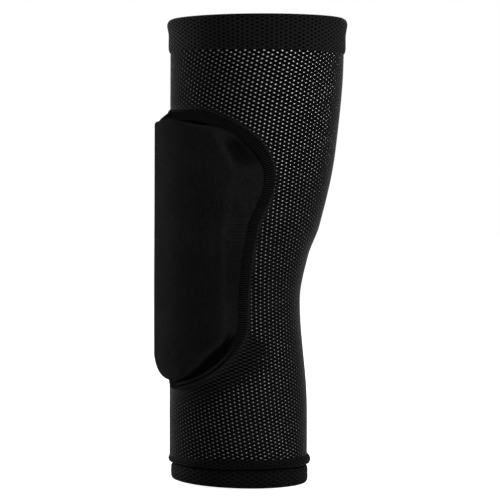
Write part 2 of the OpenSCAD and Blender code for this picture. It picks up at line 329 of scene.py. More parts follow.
def tiled(corners, ids, holes, scale, slit=1.0):
    """Outer skin over a grid of corners: plain cells, and cells with a recessed eight-sided hole.

    Corners with one id are one point. A slit over 1 makes the holes wider and lower.
    Returns the points, their columns and rows, the skin's faces, and the holes' walls and floors."""
    count = int(ids.max()) + 1
    points = np.zeros((count, 3))
    points[ids.ravel()] = corners.reshape(-1, 3)
    row, col = np.indices(ids.shape)
    marks = np.zeros((count, 2))
    marks[ids.ravel()] = np.stack([col, row], -1).reshape(-1, 2)
    skin3, skin4 = cell_faces(ids, ~holes)
    A, B, D, C = [v[holes] for v in quarters(ids)]
    a, b, c, d = points[A], points[B], points[C], points[D]
    across, upward = b - a + c - d, d - a + c - b
    n = unit(np.cross(across, upward))
    wide, tall = np.linalg.norm(across / 2, axis=1), np.linalg.norm(upward / 2, axis=1)
    s = scale[holes]
    hu, hv = HOLE_W * slit * s / wide, HOLE_H / slit ** SLIT_POWER * s / tall
    cell = np.argwhere(holes)[:, ::-1] + 0.5
    rim, floor, around = [], [], []
    for q in range(8):
        cu, cv = math.cos(math.radians(45 * q)), math.sin(math.radians(45 * q))
        for ring, shrink, drop in ((rim, 1.0, HOLE_DENT), (floor, FLOOR_SHARE, HOLE_DEPTH)):
            u, v = (0.5 + hu * shrink * cu)[:, None], (0.5 + hv * shrink * cv)[:, None]
            p = a * (1 - u) * (1 - v) + b * u * (1 - v) + c * u * v + d * (1 - u) * v
            ring.append(p - n * drop)
        around.append(cell + np.stack([hu * cu, hv * cv], -1))
    total = len(a)
    h = count + np.arange(total * 8).reshape(total, 8)
    f = h + total * 8
    points = np.concatenate([points, *[np.stack(ring, 1).reshape(-1, 3) for ring in (rim, floor)]])
    around = np.stack(around, 1).reshape(-1, 2)
    marks = np.concatenate([marks, around, around])
    skin5 = np.concatenate([
        np.stack([A, B, h[:, 7], h[:, 6], h[:, 5]], -1), np.stack([B, C, h[:, 1], h[:, 0], h[:, 7]], -1),
        np.stack([C, D, h[:, 3], h[:, 2], h[:, 1]], -1), np.stack([D, A, h[:, 5], h[:, 4], h[:, 3]], -1)])
    walls = np.stack([h, np.roll(h, -1, 1), np.roll(f, -1, 1), f], -1).swapaxes(0, 1).reshape(-1, 4)
    return points, marks, (skin3, skin4, skin5), walls, f


# Materials
# Sockets of a Mix node for colours
MIX_SHARE, MIX_A, MIX_B, MIX_RESULT = 0, 6, 7, 2
GRAIN_DEPTH, WALE_DEPTH = 0.0002, 0.00012
COOL = 1.05


def grey(v, tint=1.0):
    return (v, v, v * tint, 1)


def nodes_of(name):
    """A new material, its node tree and its shader."""
    m = bpy.data.materials.new(name)
    m.use_nodes = True
    return m, m.node_tree, m.node_tree.nodes["Principled BSDF"]


def link(tree, a, b):
    tree.links.new(a, b)


def set_gloss(shader, rough, specular, sheen, sheen_rough):
    shader.inputs["Roughness"].default_value = rough
    shader.inputs["Specular IOR Level"].default_value = specular
    shader.inputs["Sheen Weight"].default_value = sheen
    shader.inputs["Sheen Roughness"].default_value = sheen_rough


def noise_node(tree, scale, detail):
    where = tree.nodes.new("ShaderNodeTexCoord")
    noise = tree.nodes.new("ShaderNodeTexNoise")
    noise.inputs["Scale"].default_value = scale
    noise.inputs["Detail"].default_value = detail
    link(tree, where.outputs["Object"], noise.inputs["Vector"])
    return noise.outputs["Fac"]


def two_tones(tree, shader, share, start, end, dark, light):
    """Colours the shader between two tones, as a share goes from the start to the end."""
    ramp = tree.nodes.new("ShaderNodeValToRGB")
    first, last = ramp.color_ramp.elements
    first.position, last.position = start, end
    first.color, last.color = dark, light
    link(tree, share, ramp.inputs["Fac"])
    link(tree, ramp.outputs["Color"], shader.inputs["Base Color"])


def uneven(tree, shader, height, strength, depth):
    raised = tree.nodes.new("ShaderNodeBump")
    raised.inputs["Strength"].default_value = strength
    raised.inputs["Distance"].default_value = depth
    link(tree, height, raised.inputs["Height"])
    link(tree, raised.outputs["Normal"], shader.inputs["Normal"])


def named_map(tree, name):
    where = tree.nodes.new("ShaderNodeUVMap")
    where.uv_map = name
    return where.outputs["UV"]


def map_axes(tree, name):
    axes = tree.nodes.new("ShaderNodeSeparateXYZ")
    link(tree, named_map(tree, name), axes.inputs["Vector"])
    return axes.outputs


def math_node(tree, kind, a, b=None):
    node = tree.nodes.new("ShaderNodeMath")
    node.operation = kind
    for socket, value in zip(node.inputs, (a, b)):
        if isinstance(value, (int, float)):
            socket.default_value = value
        elif value is not None:
            link(tree, value, socket)
    return node.outputs[0]


def towards(tree, shader, share, tone):
    """Moves the shader's colour towards a tone by a share."""
    tones = tree.nodes.new("ShaderNodeMix")
    tones.data_type = "RGBA"
    link(tree, share, tones.inputs[MIX_SHARE])
    link(tree, shader.inputs["Base Color"].links[0].from_socket, tones.inputs[MIX_A])
    tones.inputs[MIX_B].default_value = tone
    link(tree, tones.outputs[MIX_RESULT], shader.inputs["Base Color"])


def fabric(name, dark, light, rough=0.9, grain=2600, bump=0.6,
           sheen=0.0, sheen_rough=0.5, specular=0.0, tint=1.0):
    """Matte yarn: two close tones mottled by fine noise, with a fine uneven surface."""
    m, tree, shader = nodes_of(name)
    set_gloss(shader, rough, specular, sheen, sheen_rough)
    fine = noise_node(tree, grain, detail=4)
    two_tones(tree, shader, fine, 0.3, 0.7, grey(dark, tint), grey(light, tint))
    uneven(tree, shader, fine, bump, GRAIN_DEPTH)
    return m


hole_wall = fabric("knit_hole_wall", 0.001, 0.002, rough=0.95, bump=0.3)
# Painted light: the pale floor in each knit hole stands for light seen through the mesh
hole_light = fabric("knit_hole_painted_light", 0.55, 0.72, grain=1800, bump=0.3, specular=0.1)
dim = fabric("hem_inner_layer", 0.0004, 0.0008, rough=0.95, grain=1800, bump=0.3)
inner_face = fabric("knit_inner_face", 0.006, 0.012, grain=1600, sheen=0.01, specular=0.04)
HEM_LOOK = dict(rough=0.85, sheen_rough=0.3, specular=0.02, tint=COOL)
hem_yarn = fabric("hem_yarn", 0.0034, 0.0078, sheen=0.06, **HEM_LOOK)
# Painted shade: the lower hem's yarn is the upper hem's yarn made darker
shaded_low_hem_yarn = fabric("shaded_low_hem_yarn", 0.0016, 0.0042, sheen=0.02, **HEM_LOOK)
foam = fabric("pad_foam", 0.05, 0.09, rough=0.95, grain=900, bump=0.8, specular=0.1)
elastic = fabric("hem_elastic", 0.03, 0.05, rough=0.7, grain=2200, bump=0.5, specular=0.1)
thread = fabric("seam_thread", 0.0045, 0.0095, rough=0.8, grain=3000, bump=0.4,
                sheen=0.012, sheen_rough=0.4)
band = fabric("seam_band", 0.0006, 0.0014, sheen=0.01)


def edge_cloth():
    """The pad seam's band: dark between the stitches, with light painted onto it across the top."""
    m = fabric("pad_seam_band", 0.0006, 0.0014, sheen=0.02, sheen_rough=0.4)
    tree = m.node_tree
    # Painted light: the band goes lighter across the top of the pad
    towards(tree, tree.nodes["Principled BSDF"], map_axes(tree, "Flat")["X"], grey(0.0065))
    return m


def knit_cloth():
    """Yarn of an open mesh: light loops between the holes, with shade painted into the gaps between the
    loops.
    """
    m = fabric("knit_yarn", 0.0062, 0.0168, rough=0.85, sheen=0.4, sheen_rough=0.27, tint=COOL)
    tree = m.node_tree
    cells = map_axes(tree, "Knit")
    waves = [math_node(tree, "SINE", math_node(tree, "MULTIPLY", cells[c], math.pi)) for c in ("X", "Y")]
    loops = math_node(tree, "MULTIPLY", *waves)
    gap = tree.nodes.new("ShaderNodeMapRange")
    gap.interpolation_type = "SMOOTHSTEP"
    gap.inputs["From Min"].default_value = 0.5
    gap.inputs["From Max"].default_value = -0.25
    link(tree, loops, gap.inputs["Value"])
    # Painted shade: the gaps between the loops go towards near-black
    dark = math_node(tree, "MULTIPLY", gap.outputs["Result"], map_axes(tree, "Open")["X"])
    towards(tree, tree.nodes["Principled BSDF"], dark, grey(0.0002))
    return m


def jersey():
    """Smooth black jersey: fine wales, faintly mottled, and with shade painted into its folds, dips, lower
    sides and tension lines.
    """
    m, tree, shader = nodes_of("cover_jersey")
    set_gloss(shader, rough=0.8, specular=0.0, sheen=0.01, sheen_rough=0.5)
    wales = tree.nodes.new("ShaderNodeTexWave")
    for socket, value in (("Scale", 0.45), ("Distortion", 1.2), ("Detail", 2), ("Detail Scale", 2.5)):
        wales.inputs[socket].default_value = value
    link(tree, named_map(tree, "Weave"), wales.inputs["Vector"])
    mottle = tree.nodes.new("ShaderNodeMix")
    mottle.inputs["Factor"].default_value = 0.6
    for scale, socket in ((45, "A"), (700, "B")):
        link(tree, noise_node(tree, scale, detail=3), mottle.inputs[socket])
    two_tones(tree, shader, mottle.outputs["Result"], 0.35, 0.65, grey(0.0034), grey(0.0076))
    # Painted shade: the colour goes towards near-black by the cover's painted-shade map
    towards(tree, shader, map_axes(tree, "Fold")["X"], grey(0.0003))
    uneven(tree, shader, wales.outputs["Fac"], 0.35, WALE_DEPTH)
    return m


seam_cloth, knit, cover_cloth = edge_cloth(), knit_cloth(), jersey()

# Knit sleeve: holes in alternate cells of a brick lattice that leans with the arm, floored with painted
# light: a pale floor stands for the light seen through each hole
CELL_W, COLUMN_REACH = 2.67, 66
ROW_Z, ROW_H, ROW_SAMPLES = (14.5, 120, 190, 230, 250), (1.06, 1.035, 1.08, 1.2, 1.2), 400
LEAN_Z, LEAN_RATE = 110.0, 0.0016
CROOK_MARGIN = 0.3
# A narrow plain row at each end keeps the zones' shading level where they meet
EDGE_ROW = 0.05
# Round the seam the knit is plain and then its holes grow, over more of it round the lower end
PLAIN_SIDE, PLAIN_BELOW = 4.3, 15.5
FADE_SIDE, FADE_BELOW = 2.5, 13.0
BELOW_Z, BOTTOM_Z, BOTTOM_EASE = (92, -14), (70, -14), 0.4
OPEN_Z, OPEN_SHARE = (15, 60, 120, 170, 205, 250), (0.72, 0.7, 0.6, 0.75, 0.91, 1)
LEAST_HOLE, FAINTEST_GAP_SHADE = 0.5, 0.6


def knit_rows(low, high):
    """Row heights between two levels, near the knit's pitch there, with a narrow row at each end."""
    z = np.linspace(low, high, ROW_SAMPLES)
    pitch = np.interp((z[1:] + z[:-1]) / 2, ROW_Z, ROW_H)
    rows = np.concatenate([[0], np.cumsum((z[1:] - z[:-1]) / pitch)])
    count = 2 * round(rows[-1] / 2)
    levels = np.interp(np.arange(count + 1), rows * count / rows[-1], z)
    return np.concatenate([[low, low + EDGE_ROW], levels[1:-1], [high - EDGE_ROW, high]])


def knit_piece(name, low, high):
    """One zone of the sleeve as an open mesh with an inner face, and its flat size."""
    levels = knit_rows(low, high)
    columns = np.arange(-COLUMN_REACH, COLUMN_REACH + 1)
    rows = len(levels) - 1
    angle = np.zeros((rows + 1, len(columns)))
    free = np.zeros(angle.shape, bool)
    for k, z in enumerate(levels):
        angles, length = half_round(z)
        s = columns * CELL_W + LEAN_RATE * (z - LEAN_Z) ** 2 / 2
        free[k] = np.abs(s) < length[-1] - CROOK_MARGIN
        angle[k] = np.sign(s) * np.interp(np.abs(s), length, angles)
    # Columns that would pass the crook all end in one point per row
    ids = np.where(free, free.cumsum().reshape(free.shape) + rows, np.arange(rows + 1)[:, None])
    angle[~free] = math.pi
    z = levels[:, None]
    whole = np.logical_and.reduce(quarters(free))
    mid_z = (z[:-1] + z[1:]) / 2
    corner_clear = outside(SEAM, angle, z)
    clear = sum(quarters(corner_clear)) / 4
    below = grow(mid_z, *BELOW_Z) * (1 - BOTTOM_EASE * grow(mid_z, *BOTTOM_Z))
    plain = part_way(PLAIN_SIDE, PLAIN_BELOW, below)
    fade = part_way(FADE_SIDE, FADE_BELOW, below)
    k, i = np.indices(whole.shape)
    holes = whole & ((k + i) % 2 == 1) & (k > 0) & (k < rows - 1) & (clear > plain)
    scale = part_way(LEAST_HOLE, 1, grow(clear, plain, fade)) * np.interp(mid_z, OPEN_Z, OPEN_SHARE)
    points, marks, skin, walls, floors = tiled(on_sleeve(angle, z, 0), ids, holes, scale)
    marks[:, 1] = np.clip(marks[:, 1] - 1, 0, rows - 2)
    # Shade painted into the gaps between the loops, fainter in the plain knit near the seam
    gap_shade = part_way(FAINTEST_GAP_SHADE, 1, grow(corner_clear, PLAIN_SIDE, FADE_SIDE))
    gap_shade_share = np.ones(len(points))
    gap_shade_share[ids.ravel()] = (gap_shade * free).ravel()
    inner_id = ids + len(points)
    inner = np.zeros((int(ids.max()) + 1, 3))
    inner[ids.ravel()] = on_sleeve(angle, z, -KNIT_T).reshape(-1, 3)
    points = np.concatenate([points, inner])
    marks = np.concatenate([marks - (COLUMN_REACH, 0), np.zeros((len(inner), 2))])
    gap_shade_share = np.concatenate([gap_shade_share, np.zeros(len(inner))])
    inner3, inner4 = cell_faces(inner_id, True)
    rims = []
    for row in (0, rows):
        o0, o1, i0, i1 = ids[row, :-1], ids[row, 1:], inner_id[row, :-1], inner_id[row, 1:]
        edge = np.stack([o0, o1, i1, i0], -1)[o0 != o1]
        rims.append(edge if row else edge[:, ::-1])
    obj = make(name, points, [
        *[(faces, 0, True) for faces in skin], (walls, 1, False), (floors, 2, False),
        (inner4[:, [0, 3, 2, 1]], 3, True), (inner3[:, [0, 2, 1]], 3, True),
        (np.concatenate(rims), 0, False)],
        [knit, hole_wall, hole_light, inner_face], {"Knit": marks, "Open": one_axis(gap_shade_share)})
    girth = half_round((low + high) / 2)[1][-1] * 2
    return obj, (girth * MM, (high - low) * MM)


knit_upper, flat_upper = knit_piece("knit_upper", BEND_HIGH_Z, UPPER_HEM_Z)
knit_elbow, flat_elbow = knit_piece("knit_elbow", BEND_LOW_Z, BEND_HIGH_Z)
knit_lower, flat_lower = knit_piece("knit_lower", LOWER_HEM_Z, BEND_LOW_Z)

# Hems: radius and height of points round each folded profile
UPPER_HEM = [
    (50.7, 250), (51.5, 251.2), (51.8, 253), (51.8, 257), (51.8, 261), (52.3, 264),
    (52.7, 266.4), (52.2, 268.6), (50.6, 269.9), (48.9, 269.2), (47.9, 267), (47.7, 263),
    (47.7, 257), (47.7, 252), (48.3, 250.6), (49.5, 250)]
LOWER_HEM = [
    (38.6, 0), (39.4, 0), (40, 0.5), (40.2, 2.6), (40.2, 7.4), (39.9, 8.4), (38, 9.1),
    (38, 9.8), (40.5, 10.4), (41.5, 11.5), (41.8, 13.2), (41.2, 14.7), (40.1, 15.7),
    (38.9, 15.5), (37.2, 14.6), (36.5, 13), (36.5, 7), (36.5, 2.2), (37.1, 0.5)]
UPPER_HEM_Y, LOWER_HEM_Y = 10.8, 1.3
# Ripples round a hem: how many, where they start and their share
RIPPLES = ((3, 0.6, 1.0), (5, 2.1, 0.6), (9, 0.0, 0.4))
RIPPLE_SWAY, TILT_START = 0.5, 0.3
PUCKERS, PUCKER_START, PUCKER_GROUPS = 4, 1, 7
ROLL_LIFT, ROLL_ANGLE, ROLL_Z = 1.7, math.radians(72), (3, 5)
GROOVE_R, GROOVE_Z, GROOVE_REACH = 39.4, 9.4, 1.2
OUTSIDE_SLOPE = 0.4


def roll_lift(angle):
    """How much higher the lower hem's roll sits on one side."""
    return ROLL_LIFT * np.maximum(np.cos(angle - ROLL_ANGLE), 0)


def hem_piece(name, profile, centre_y, columns, hole_r, hole_z, wave, size, tilt, yarn, is_upper, slit=1.0):
    """A folded hem turned from a profile, with holes outside a radius and above a height.

    Its free edge ripples by the wave, and stands higher on one side by the tilt."""
    p = closed_curve(profile)
    rows = len(p)
    angle = full_turn(columns)
    ripple = wave * sum(share * np.sin(n * angle + start) for n, start, share in RIPPLES)
    rise = grow(p[:, 1:], p[:, 1].min(), np.ptp(p[:, 1]) + TINY)
    free = rise if is_upper else 1 - rise
    r = p[:, :1] + ripple * free * RIPPLE_SWAY
    z = p[:, 1:] + tilt * free * ((0 if is_upper else 1) + np.cos(angle + TILT_START)) / 2
    pucker = wave * np.sin(math.pi * rise) * np.sin(PUCKERS * angle + PUCKER_START)
    z = z + pucker * (1 + np.sin(PUCKER_GROUPS * angle))
    if not is_upper:
        z = z + grow(p[:, 1:], *ROLL_Z) * roll_lift(angle)
    corners = np.pad(turned(r, z, angle, centre_y), ((0, 1), (0, 1), (0, 0)), mode="wrap")
    ids = np.pad(np.arange(rows * columns).reshape(rows, columns), ((0, 1), (0, 1)), mode="wrap")
    k, i = np.indices((rows, columns))
    after = np.roll(p, -1, 0)
    mid = (p + after) / 2
    pick = (mid[:, 0] > hole_r) & (mid[:, 1] > hole_z) & (after[:, 1] > p[:, 1] - OUTSIDE_SLOPE)
    holes = pick[:, None] & ((k + i) % 2 == 0)
    points, _, skin, walls, floors = tiled(corners, ids, holes, np.full(holes.shape, size), slit)
    # Painted shade: the skin in the lower hem's groove takes the hole walls' near-black colour
    sunk = (p[:, 0] < GROOVE_R) & (np.abs(p[:, 1] - GROOVE_Z) < GROOVE_REACH)
    in_groove = np.repeat(sunk, columns)[skin[1]].all(1)
    return make(name, points, [
        (skin[1][~in_groove], 0, True), (skin[1][in_groove], 1, True), (skin[2], 0, True),
        (walls, 1, False), (floors, 2, False)], [yarn, hole_wall, dim])


upper_hem = hem_piece("upper_hem_fold", UPPER_HEM, UPPER_HEM_Y, columns=118, hole_r=50.4, hole_z=250.2,
                      wave=0.35, size=1.45, tilt=-1.2, yarn=hem_yarn, is_upper=True)
lower_hem = hem_piece("lower_hem_fold", LOWER_HEM, LOWER_HEM_Y, columns=94, hole_r=39.6, hole_z=1.0,
                      wave=0.25, size=1.25, tilt=2.0, yarn=shaded_low_hem_yarn, is_upper=False, slit=1.55)

RIB_PITCH, RIB_H, RIB_STEPS = 1.4, 0.12, 8
ELASTIC_T, ELASTIC_SIDES = 1.0, 160


def elastic_band(name, inner_r, low, wide, centre_y):
    """A flat ring of elastic with fine round ribs."""
    ribs = round(wide / RIB_PITCH)
    t = np.linspace(0, 1, ribs * RIB_STEPS + 1)
    swell = RIB_H * np.abs(np.sin(math.pi * ribs * t))
    outer = np.stack([inner_r + ELASTIC_T - RIB_H + swell, low + wide * t], 1)
    inner = np.stack([inner_r + RIB_H - swell, low + wide * t], 1)[::-1]
    p = np.concatenate([outer, inner])
    points = turned(p[:, :1], p[:, 1:], full_turn(ELASTIC_SIDES), centre_y)
    faces = ring_faces(len(p), ELASTIC_SIDES, True)
    return make(name, points.reshape(-1, 3), [(faces, 0, True)], [elastic])


upper_elastic = elastic_band("upper_hem_elastic", inner_r=49.2, low=254.2, wide=11.0, centre_y=UPPER_HEM_Y)
lower_elastic = elastic_band("lower_hem_elastic", inner_r=37.6, low=1.8, wide=5.0, centre_y=LOWER_HEM_Y)

# Foam lobes: the block under the cloth, parted by the flex gap
FLEX_Z, FLEX_GAP = 148.0, 4.0
LOBE_CORNER, CORNER_POWER, CORNER_POINTS = 10.0, 6, 24
LOBE_INSET, LOBE_STRIDE = 1.4, 3
FOAM_LOW_OFF, LEAST_FOAM, CLOTH_T = 0.5, 0.5, 1.0
# Rings of a lobe: share of the way to its edge, and how far its top has dropped there
LOBE_SHARES = (0.06, 0.2, 0.35, 0.5, 0.65, 0.8, 0.86, 0.9, 0.93, 0.955, 0.975, 0.99, 1.0)
LOBE_DROPS = (0, 0, 0, 0, 0, 0, 0, 0.05, 0.2, 0.5, 1.0, 1.8, 3.0)


def lobe_line(side):
    """Outline of the lobe above (1) or below (-1) the gap, a little inside the block's edge."""
    half = inset(BLOCK, LOBE_INSET)[:len(BLOCK) // 2 + 1]
    turn = FLEX_Z + side * FLEX_GAP / 2 + side * LOBE_CORNER
    kept = half[(half[:, 1] - turn) * side > 0][::LOBE_STRIDE][::side]
    reach = np.interp(turn, half[::-1, 1], half[::-1, 0])
    t = np.sin(np.radians(np.linspace(90, 0, CORNER_POINTS)))
    drop = (1 - t ** CORNER_POWER) ** (1 / CORNER_POWER)
    cut = np.stack([reach * t, turn - side * LOBE_CORNER * drop], 1)
    run = np.concatenate([kept, cut])
    run[0, 0] = 0
    return mirrored(run)[::side]


def foam_lobe(name, line):
    """A lobe of foam, from rings of its outline over the top and back under it."""
    middle = np.array([0, (line[:, 1].max() + line[:, 1].min()) / 2])
    rings = []
    for f, drop in zip(LOBE_SHARES, LOBE_DROPS):
        ring = part_way(middle, line, f)
        height, _ = block_height(ring)
        top = np.minimum(height - CLOTH_T, COVER_OFF - CLOTH_T - drop)
        rings.append(laid(ring, np.maximum(top, FOAM_LOW_OFF + LEAST_FOAM)))
    rings += [laid(part_way(middle, line, f), FOAM_LOW_OFF) for f in LOBE_SHARES[-2::-1]]
    n, m = len(rings), len(line)
    caps = [np.arange(m)[None], (n - 1) * m + np.arange(m)[None, ::-1]]
    obj = make(name, np.concatenate(rings),
               [(ring_faces(n, m)[:, ::-1], 0, True), (caps[0], 0, True), (caps[1], 0, True)], [foam])
    return obj


foam_upper = foam_lobe("foam_upper_lobe", lobe_line(1))
foam_elbow = foam_lobe("foam_elbow_lobe", lobe_line(-1))

# How the seam lies: it climbs the pad at the top, and at the lower end it tucks in, drawn into two cords
LOWER_END_Z = (88, -20)
TIP_ANGLE, TIP_REACH = -6.0, (12, 12)
CLIMB_Z, CLIMB_RATE, CLIMB_START = (203, 8), 0.9, 0.5
STEEP_RATE, STEEP_START = 0.35, 1.0
TUCK_Z, TUCK_SIDE, TUCK_TIP = (72, -10), 0.4, 0.6
CORD_PULL = 0.75
FLAT_REACH = (6, 24)


def lower_end(line):
    """1 along the lower end of the pad, and 0 above it."""
    return grow(line[:, 1], *LOWER_END_Z)


def at_tip(line):
    """1 on the lowest stretch of the seam, and 0 away from it."""
    return lower_end(line) * (1 - grow(np.abs(line[:, 0] - TIP_ANGLE), *TIP_REACH))


def corded(line):
    """Share by which the seam is drawn into cords: along the lower end, but not at its tip."""
    return lower_end(line) - at_tip(line)


def drawn_in(line, d):
    """Distances inwards of the seam's middle, less where it is drawn into cords."""
    return d * (1 - CORD_PULL * corded(line)) if d > 0 else d + 0 * line[:, 0]


def seam_base(line, d):
    """Stand-off of the seam, d inwards of its middle."""
    steep = along_top(line, DIP_REACH)
    climb = (CLIMB_RATE + STEEP_RATE * steep) * grow(line[:, 1], *CLIMB_Z)
    tuck = grow(line[:, 1], *TUCK_Z) * (TUCK_SIDE + TUCK_TIP * at_tip(line))
    return climb * np.maximum(d + CLIMB_START + STEEP_START * steep, 0) - tuck


# Pad cover: a stretched cloth over the foam, held at the seam, then dipped and tucked
INNER_SHARES = np.concatenate([np.linspace(0.03, 0.8, 18), np.linspace(0.82, 1.0, 16)])
EDGE_RING, FLANK_RINGS = len(INNER_SHARES) - 1, 26
RIM_INSET, RIM_CORDED = 1.4, 1.2
RIM_OFF, RIM_CLIMB = 0.4, 0.4
ROUNDS, SHORTEST, FIRST_OFF = 2500, 0.02, 5.0
BLOCK_MARGIN, NO_FOAM = -0.05, -9
# A fold beside the top of the seam and a pocket at the shoulder
TOP_FOLD_ANGLE = ((19, 8), (37, 8))
POCKET_Z, POCKET_ANGLE = ((182, 8), (195, 8)), (51, 5)
DIP_RATE, DIP_POWER = 2.2, 1.5
# A fine ridge on the block's edge at the shoulder, as wide as a few rings
RIDGE_Z, RIDGE_H, RIDGE_RINGS = ((176, 6), (194, 8)), 0.3, 1.3
# The lower end bulges over the seam: how far out and how high the cloth is, by share of the flank
BULGE_Z, BULGE_ANGLE, BULGE_LEAST = (97, -13), (10, 16), 0.5
BULGE_SHARE = (0, 0.1, 0.2, 0.3, 0.42, 0.55, 0.68, 0.8, 0.9, 1)
BULGE_OUT = (0, 0.3, 0.45, 0.4, 0.1, -0.4, -1.0, -1.2, -0.8, 0)
BULGE_DROP = (1, 0.93, 0.82, 0.68, 0.52, 0.35, 0.2, 0.08, 0.02, 0)
BULGE_POWER = 4
# How much shade is painted into the cloth in each dip, and where across the flank
TUCK_SHADE, TUCK_FROM = 0.9, (0.04, 0.2)
FOLD_SHADE, FOLD_FROM = 0.35, (0.02, 0.4)
POCKET_SHADE, POCKET_FROM, POCKET_PAST, POCKET_EASE = 0.55, (0, 0.16), (0.45, 0.4), 0.5
# Below the flex gap a little shade is painted onto the sides of the cover
SIDE_SHADE, FLANK_SHADE, FLANK_FROM = 0.18, 0.14, (0, 0.2)
SIDE_ANGLE, SIDE_Z, SIDE_END_Z, SIDE_EASE = (14, 18), (152, -22), (98, -12), 0.6
# Fine tension lines run across the flank beside the flex gap, on more spokes than elsewhere
TAUT_Z, TAUT_PITCH, TAUT_REACH, TAUT_SWAY = 146.0, 2.0, 14, 0.5
# Shade is painted into the troughs of the tension lines
TAUT_H, TAUT_SHADE, TAUT_DARK = 0.3, 0.4, (0.1, -0.9)
SPOKES, FINE_SPOKES, FINE_REACH, ACROSS_POWER = 2, 5, 18, 0.8


def cover_grid():
    """Places of the cover's rings, out to the block's edge and on to the seam, and of its rim."""
    middle = np.array([0, (BLOCK[:, 1].max() + BLOCK[:, 1].min()) / 2])
    held = inset(SEAM, RIM_INSET - RIM_CORDED * corded(SEAM))
    spokes = [(line - middle) * (EDGE_MM, 1) for line in (BLOCK, held)]
    to_block, to_seam = [np.arctan2(v[:, 0], v[:, 1]) for v in spokes]
    reach = np.interp(to_block, to_seam, np.linalg.norm(spokes[1], axis=1), period=2 * math.pi)
    rim = middle + np.stack([reach * np.sin(to_block) / EDGE_MM, reach * np.cos(to_block)], 1)
    inner = [part_way(middle, BLOCK, f) for f in INNER_SHARES]
    outer = [part_way(BLOCK, rim, f) for f in np.linspace(0, 1, FLANK_RINGS + 1)[1:]]
    return np.stack(inner + outer), rim


def both_sides(steps):
    """Sum of the steps between rings on the two sides of each ring."""
    return np.pad(steps, ((0, 1), (0, 0))) + np.pad(steps, ((1, 0), (0, 0)))


def taut(grid, rim_off):
    """Stand-off of a stretched cloth, lifted by the block and held at the rim: repeated averaging."""
    r = degree_mm(grid[..., 1])
    flat = np.stack([grid[..., 0] * r, grid[..., 1]], -1)
    radial = np.linalg.norm(np.diff(flat, axis=0), axis=-1)
    around = np.linalg.norm(np.roll(flat, -1, 1) - flat, axis=-1)
    wr = (around[1:] + around[:-1]) / 2 / np.maximum(radial, SHORTEST)
    wc = both_sides(radial / 2) / np.maximum(around, SHORTEST)
    total = both_sides(wr) + (wc + np.roll(wc, 1, 1))
    height, deep = block_height(grid)
    foam_off = np.where(deep > BLOCK_MARGIN, height, NO_FOAM)
    off = np.where(deep > 0, COVER_OFF, FIRST_OFF)
    off[-1] = rim_off
    for _ in range(ROUNDS):
        pull = wc * np.roll(off, -1, 1) + np.roll(wc, 1, 1) * np.roll(off, 1, 1)
        pull[:-1] += wr * off[1:]
        pull[1:] += wr * off[:-1]
        off = np.maximum(pull / total, foam_off)
        off[-1] = rim_off
    return off


